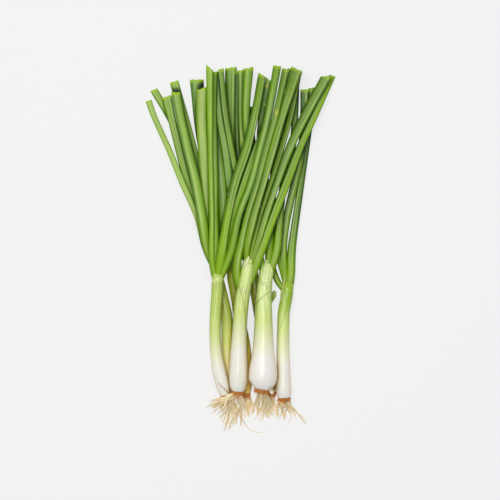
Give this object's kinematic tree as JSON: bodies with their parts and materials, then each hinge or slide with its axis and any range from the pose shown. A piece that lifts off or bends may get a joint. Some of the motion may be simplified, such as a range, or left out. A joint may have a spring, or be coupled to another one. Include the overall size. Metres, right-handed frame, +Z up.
{
  "type": "spring onion bunch",
  "caption": "Loose bunch of spring onions lying flat, with pale bulbs, thread roots and hollow green leaves cut off at the top.",
  "frame": {"origin": "on the surface that the bunch lies on, under the middle of its box", "axes": "+Y from the roots to the cut leaf ends, +X to the right seen from above, +Z up"},
  "size_m": [0.1698, 0.327, 0.035],
  "materials": {
    "sheath": "smooth waxy skin, white at the bulb and pale green at the mouth",
    "leaf": "waxy green leaf with fine veins along it",
    "root": "dry matt threads"
  },
  "bodies": {
    "root": {"onion_1_shaft": "sheath", "onion_1_leaves": "leaf", "onion_1_roots": "root", "onion_2_shaft": "sheath", "onion_2_leaves": "leaf", "onion_2_roots": "root", "onion_3_shaft": "sheath", "onion_3_leaves": "leaf", "onion_3_roots": "root", "onion_4_shaft": "sheath", "onion_4_leaves": "leaf", "onion_4_roots": "root", "onion_5_shaft": "sheath", "onion_5_leaves": "leaf", "onion_5_roots": "root", "onion_6_shaft": "sheath", "onion_6_leaves": "leaf", "onion_6_roots": "root", "onion_7_shaft": "sheath", "onion_7_leaves": "leaf", "onion_7_roots": "root"}
  },
  "joints": []
}
